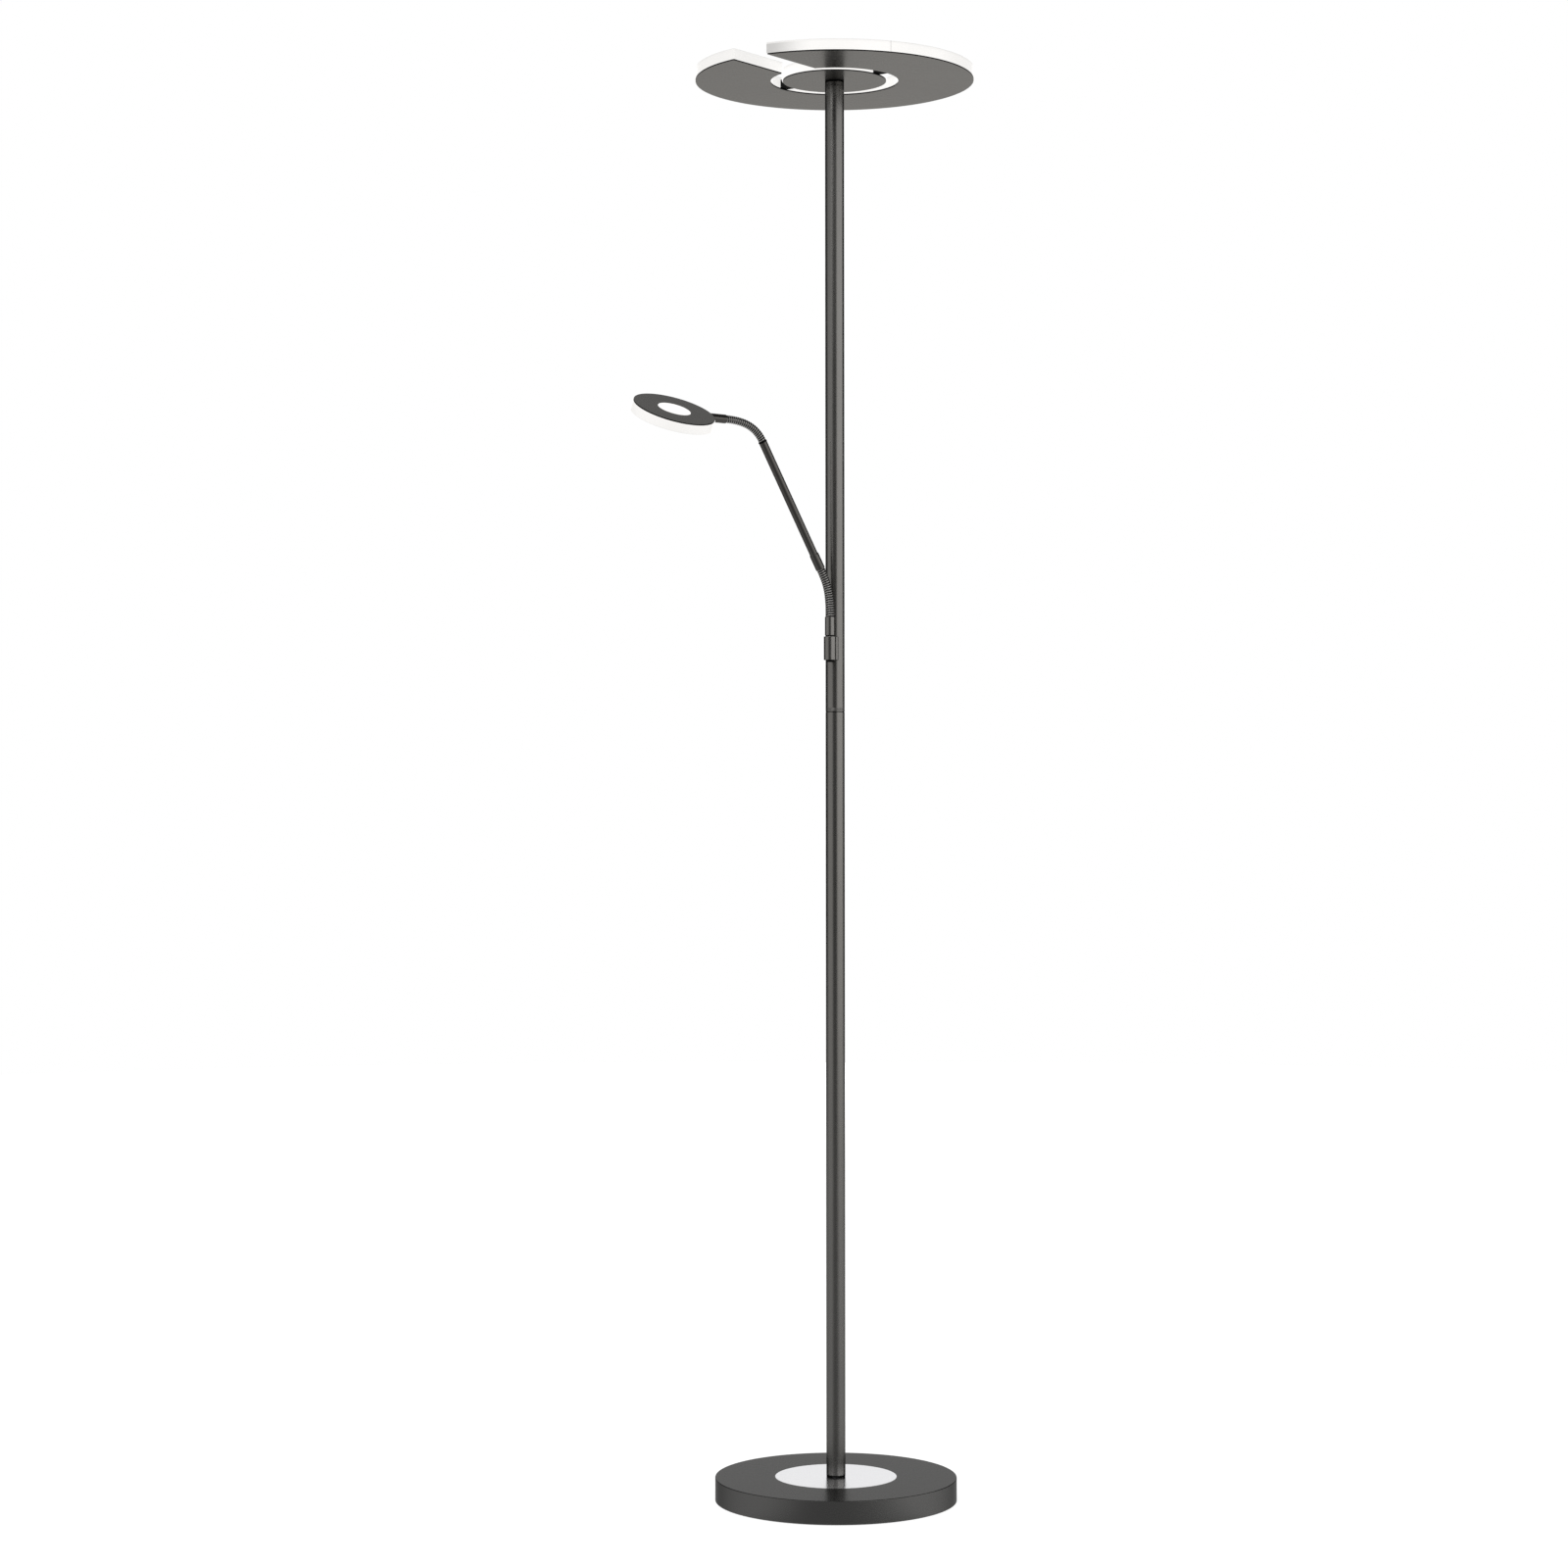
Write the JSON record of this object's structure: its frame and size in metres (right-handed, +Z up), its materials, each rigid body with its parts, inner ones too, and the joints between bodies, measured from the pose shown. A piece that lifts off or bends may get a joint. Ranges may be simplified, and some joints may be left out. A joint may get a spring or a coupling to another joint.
{
  "type": "torchiere floor lamp",
  "caption": "Slim round-pole uplight with a slotted ring head, a heavy round base and a flexible reading arm that carries a small disc head.",
  "frame": {"origin": "centre of the base's underside, on the pole's axis and on the floor", "axes": "+Z up along the pole; -Y towards the viewer, where the reading arm's socket faces; +X to the viewer's right"},
  "size_m": [0.4262, 0.3751, 1.8],
  "materials": {
    "charcoal_paint": "satin charcoal powder coat",
    "black_paint": "satin black",
    "flex_metal": "satin black nickel, wound",
    "brushed_steel": "circular brushed",
    "zinc_plate": "bright zinc plated",
    "cast_iron": "as cast",
    "opal_acrylic": "opal white, lit from inside",
    "led_board": "white solder mask",
    "driver_case": "moulded",
    "black_plastic": "moulded",
    "felt": "pressed felt"
  },
  "bodies": {
    "stand": {"felt_pad": "felt", "ballast": "cast_iron", "base_cover": "charcoal_paint", "steel_inlay": "brushed_steel", "base_washer": "zinc_plate", "base_nut": "zinc_plate", "base_nipple": "zinc_plate", "cable_gland": "black_plastic", "led_driver": "driver_case", "driver_lead": "black_plastic", "pole_foot": "zinc_plate", "pole_lower": "charcoal_paint", "joint_stud": "zinc_plate", "joint_socket": "zinc_plate", "pole_upper": "charcoal_paint", "top_insert": "zinc_plate", "pole_collar": "charcoal_paint", "pole_cable": "black_plastic", "hub_plate": "charcoal_paint", "ring_plate": "charcoal_paint", "cross_bar": "black_paint", "head_washer": "zinc_plate", "head_nut": "zinc_plate", "head_nipple": "zinc_plate", "bar_screw_1": "zinc_plate", "bar_screw_2": "zinc_plate", "ring_led_board": "led_board", "hub_led_board_1": "led_board", "hub_led_board_2": "led_board", "hub_diffuser": "opal_acrylic", "ring_diffuser": "opal_acrylic", "arm_bracket": "charcoal_paint", "bracket_nipple": "zinc_plate", "bracket_nut": "zinc_plate", "swivel_washer": "black_plastic"},
    "ferrule": {"swivel_ferrule": "charcoal_paint", "pivot_screw": "zinc_plate", "lower_flex_root": "flex_metal"},
    "lower_link_1": {"lower_flex_link_1": "flex_metal"},
    "lower_link_2": {"lower_flex_link_2": "flex_metal"},
    "lower_link_3": {"lower_flex_link_3": "flex_metal"},
    "lower_link_4": {"lower_flex_link_4": "flex_metal"},
    "arm": {"lower_flex_end": "flex_metal", "arm_collar": "charcoal_paint", "arm_tube": "charcoal_paint", "tube_ring": "black_paint", "upper_flex_root": "flex_metal"},
    "upper_link_1": {"upper_flex_link_1": "flex_metal"},
    "upper_link_2": {"upper_flex_link_2": "flex_metal"},
    "upper_link_3": {"upper_flex_link_3": "flex_metal"},
    "upper_link_4": {"upper_flex_link_4": "flex_metal"},
    "upper_link_5": {"upper_flex_link_5": "flex_metal"},
    "neck": {"upper_flex_end": "flex_metal", "neck_ferrule": "charcoal_paint"},
    "reading_head": {"reading_stub": "black_paint", "reading_plate": "charcoal_paint", "reading_window": "opal_acrylic", "reading_diffuser": "opal_acrylic", "reading_led_board": "led_board"}
  },
  "joints": [
    {"name": "arm_swivel", "type": "hinge", "parent": "stand", "child": "ferrule", "pos_m": [-0.00667, -0.01938, 1.0865], "axis": [0, 0, 1], "range_deg": [-75, 150]},
    {"name": "lower_bend_1", "type": "hinge", "parent": "ferrule", "child": "lower_link_1", "pos_m": [-0.00667, -0.01938, 1.117], "axis": [0.5592, -0.829, 0], "range_deg": [-3, 5]},
    {"name": "lower_bend_2", "type": "hinge", "parent": "lower_link_1", "child": "lower_link_2", "pos_m": [-0.00739, -0.01987, 1.12937], "axis": [0.5592, -0.829, 0], "range_deg": [-3, 5]},
    {"name": "lower_bend_3", "type": "hinge", "parent": "lower_link_2", "child": "lower_link_3", "pos_m": [-0.00864, -0.02071, 1.14168], "axis": [0.5592, -0.829, 0], "range_deg": [-3, 5]},
    {"name": "lower_bend_4", "type": "hinge", "parent": "lower_link_3", "child": "lower_link_4", "pos_m": [-0.01148, -0.02262, 1.1536], "axis": [0.5592, -0.829, 0], "range_deg": [-3, 5]},
    {"name": "lower_bend", "type": "hinge", "parent": "lower_link_4", "child": "arm", "pos_m": [-0.01598, -0.02566, 1.16474], "axis": [0.5592, -0.829, 0], "range_deg": [-3, 5]},
    {"name": "upper_bend_1", "type": "hinge", "parent": "arm", "child": "upper_link_1", "pos_m": [-0.09286, -0.07752, 1.32931], "axis": [0.5592, -0.829, 0], "range_deg": [-6, 7.5]},
    {"name": "upper_bend_2", "type": "hinge", "parent": "upper_link_1", "child": "upper_link_2", "pos_m": [-0.09879, -0.08151, 1.33687], "axis": [0.5592, -0.829, 0], "range_deg": [-6, 7.5]},
    {"name": "upper_bend_3", "type": "hinge", "parent": "upper_link_2", "child": "upper_link_3", "pos_m": [-0.10609, -0.08644, 1.3424], "axis": [0.5592, -0.829, 0], "range_deg": [-6, 7.5]},
    {"name": "upper_bend_4", "type": "hinge", "parent": "upper_link_3", "child": "upper_link_4", "pos_m": [-0.11421, -0.09192, 1.34589], "axis": [0.5592, -0.829, 0], "range_deg": [-6, 7.5]},
    {"name": "upper_bend_5", "type": "hinge", "parent": "upper_link_4", "child": "upper_link_5", "pos_m": [-0.12269, -0.09763, 1.3478], "axis": [0.5592, -0.829, 0], "range_deg": [-6, 7.5]},
    {"name": "upper_bend", "type": "hinge", "parent": "upper_link_5", "child": "neck", "pos_m": [-0.13128, -0.10343, 1.34863], "axis": [0.5592, -0.829, 0], "range_deg": [-6, 7.5]},
    {"name": "head_turn", "type": "hinge", "parent": "neck", "child": "reading_head", "pos_m": [-0.15466, -0.1192, 1.34917], "axis": [-0.8289, -0.5591, 0.0192], "range_deg": [-63, 117]}
  ],
  "couplings": [
    {"joint": "lower_bend_1", "follows": "lower_bend", "ratio": 1},
    {"joint": "lower_bend_2", "follows": "lower_bend", "ratio": 1},
    {"joint": "lower_bend_3", "follows": "lower_bend", "ratio": 1},
    {"joint": "lower_bend_4", "follows": "lower_bend", "ratio": 1},
    {"joint": "upper_bend_1", "follows": "upper_bend", "ratio": 1},
    {"joint": "upper_bend_2", "follows": "upper_bend", "ratio": 1},
    {"joint": "upper_bend_3", "follows": "upper_bend", "ratio": 1},
    {"joint": "upper_bend_4", "follows": "upper_bend", "ratio": 1},
    {"joint": "upper_bend_5", "follows": "upper_bend", "ratio": 1}
  ]
}
